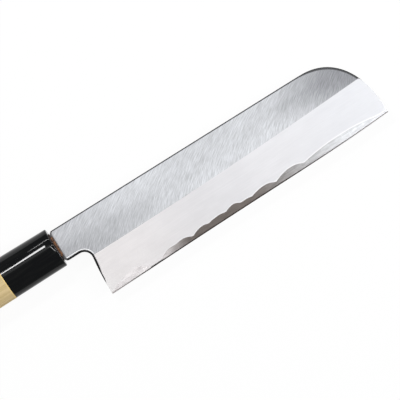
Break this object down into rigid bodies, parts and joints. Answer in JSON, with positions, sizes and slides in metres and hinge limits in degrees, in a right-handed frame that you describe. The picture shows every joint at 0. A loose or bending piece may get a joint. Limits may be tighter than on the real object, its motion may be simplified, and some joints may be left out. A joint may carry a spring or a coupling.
{
  "type": "usuba knife",
  "caption": "Straight-edged vegetable knife with a single bevel, hollow back, rounded tip, wavy weld line, horn ferrule and D-shaped wooden handle.",
  "frame": {"origin": "middle of the underside of the knife's bounding box, with the knife lying on its back and the blade level", "axes": "+X along the blade to the tip, +Y to the spine, +Z out of the bevelled side"},
  "size_m": [0.3274, 0.0508, 0.0218],
  "materials": {
    "soft_iron": "stone-ground, fine hairlines on the flat and a misty bevel",
    "hard_steel": "fine-ground, darker than the iron",
    "horn": "polished black",
    "magnolia": "bare, fine-sanded, tenon end stained brown"
  },
  "bodies": {
    "root": {"iron_body": "soft_iron", "edge_steel": "hard_steel", "horn_ferrule": "horn", "grip_wood": "magnolia"}
  },
  "joints": []
}
